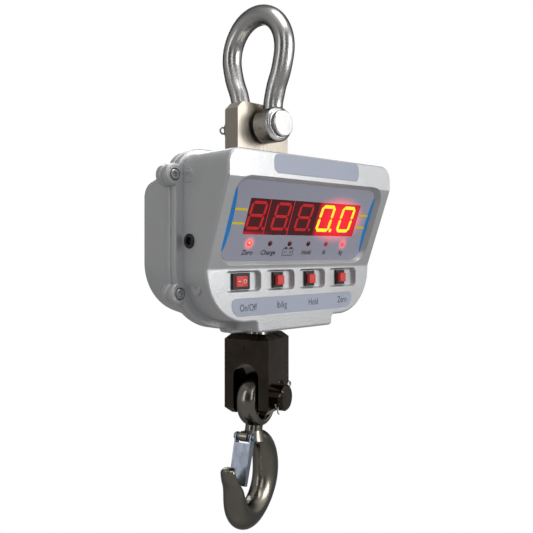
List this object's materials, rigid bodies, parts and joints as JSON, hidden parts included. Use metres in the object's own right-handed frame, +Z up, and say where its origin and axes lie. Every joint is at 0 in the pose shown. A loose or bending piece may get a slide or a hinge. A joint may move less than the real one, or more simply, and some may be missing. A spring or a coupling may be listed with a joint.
{
  "type": "crane scale",
  "caption": "Hanging electronic crane scale: cast housing with a sloped LED display and switches, a bow shackle above, and a swivelling block with a latched hook below.",
  "frame": {"origin": "the point inside the shackle bow where a crane hook bears, with the bow upright", "axes": "+Z up along the load line, display faces -Y, shackle pin along Y"},
  "size_m": [0.289, 0.1487, 0.5809],
  "materials": {
    "silver_paint": "semi-gloss silver paint over a fine cast texture",
    "black_rubber": "matt",
    "zinc_screw": "zinc plated",
    "film_print": "printed polyester film",
    "red_window": "clear red",
    "red_led": "cast epoxy",
    "circuit_board": "solder mask",
    "nameplate_film": "satin foil",
    "label_film": "printed film",
    "black_plastic": "moulded",
    "red_plastic": "moulded",
    "socket_plastic": "moulded",
    "nut_plate": "nickel plated",
    "battery_case": "moulded",
    "bracket_zinc": "zinc plated sheet",
    "nickel_plate": "satin nickel plate",
    "bearing_steel": "ground",
    "dark_steel": "turned",
    "split_pin_steel": "bright wire",
    "polished_steel": "polished",
    "black_chrome": "black chrome, mirror polished",
    "hook_chrome": "dark chrome, mirror polished",
    "latch_zinc": "zinc plated sheet",
    "cable_jacket": "matt",
    "red_wire": "insulated wire",
    "ribbon_grey": "flat cable"
  },
  "bodies": {
    "scale_body": {"front_casing": "silver_paint", "rear_casing": "silver_paint", "casing_gasket": "black_rubber", "casing_screws": "zinc_screw", "load_cell_screws": "zinc_screw", "top_seal": "black_rubber", "bottom_seal": "black_rubber", "display_film": "film_print", "display_window": "red_window", "digit_modules": "red_led", "indicator_leds": "red_led", "display_board": "circuit_board", "display_board_screws": "zinc_screw", "top_nameplate": "nameplate_film", "switch_label": "label_film", "rocker_body": "black_plastic", "button_bodies": "black_plastic", "dc_socket": "socket_plastic", "dc_socket_nut": "nut_plate", "main_board": "circuit_board", "main_board_screws": "zinc_screw", "battery": "battery_case", "battery_bracket": "bracket_zinc", "bracket_screws": "zinc_screw", "load_cell": "nickel_plate", "bearing_lower_race": "bearing_steel", "bearing_balls": "bearing_steel", "load_cell_cable": "cable_jacket", "battery_leads": "red_wire", "charging_leads": "red_wire", "display_ribbon": "ribbon_grey"},
    "shackle": {"shackle_bow": "polished_steel", "shackle_pin": "polished_steel", "shackle_cotter": "split_pin_steel"},
    "swivel": {"swivel_shaft": "dark_steel", "shaft_nut": "dark_steel", "shaft_cotter": "split_pin_steel", "bearing_upper_race": "bearing_steel", "hook_block": "black_chrome", "shaft_lock_pin": "black_chrome", "hook_pin": "black_chrome", "hook_cotter": "split_pin_steel"},
    "hook_body": {"hook": "hook_chrome", "latch_pin": "latch_zinc", "latch_spring": "latch_zinc"},
    "latch_body": {"latch": "latch_zinc"},
    "rocker": {"power_rocker": "red_plastic"},
    "unit_key": {"unit_button": "red_plastic"},
    "hold_key": {"hold_button": "red_plastic"},
    "zero_key": {"zero_button": "red_plastic"}
  },
  "joints": [
    {"name": "shackle_swing", "type": "hinge", "parent": "scale_body", "child": "shackle", "pos_m": [0, 0, -0.115], "axis": [0, 1, 0], "range_deg": [-100, 100]},
    {"name": "block_swivel", "type": "hinge", "parent": "scale_body", "child": "swivel", "pos_m": [0, 0, -0.36], "axis": [0, 0, 1], "continuous": true},
    {"name": "hook_swing", "type": "hinge", "parent": "swivel", "child": "hook_body", "pos_m": [0, 0, -0.4166], "axis": [-0.3338, 0.9426, 0], "range_deg": [-102, 77]},
    {"name": "latch_swing", "type": "hinge", "parent": "hook_body", "child": "latch_body", "pos_m": [-0.02741, -0.00971, -0.45676], "axis": [-0.3338, 0.9426, 0], "range_deg": [-38, 0], "stiffness_Nm_per_rad": 0.05},
    {"name": "power_rock", "type": "hinge", "parent": "scale_body", "child": "rocker", "pos_m": [-0.076, -0.0538, -0.28395], "axis": [0, 0, 1], "range_deg": [0, 14]},
    {"name": "unit_press", "type": "slide", "parent": "scale_body", "child": "unit_key", "axis": [0, 1, 0], "range_m": [0, 0.0025], "stiffness_N_per_m": 400},
    {"name": "hold_press", "type": "slide", "parent": "scale_body", "child": "hold_key", "axis": [0, 1, 0], "range_m": [0, 0.0025], "stiffness_N_per_m": 400},
    {"name": "zero_press", "type": "slide", "parent": "scale_body", "child": "zero_key", "axis": [0, 1, 0], "range_m": [0, 0.0025], "stiffness_N_per_m": 400}
  ]
}
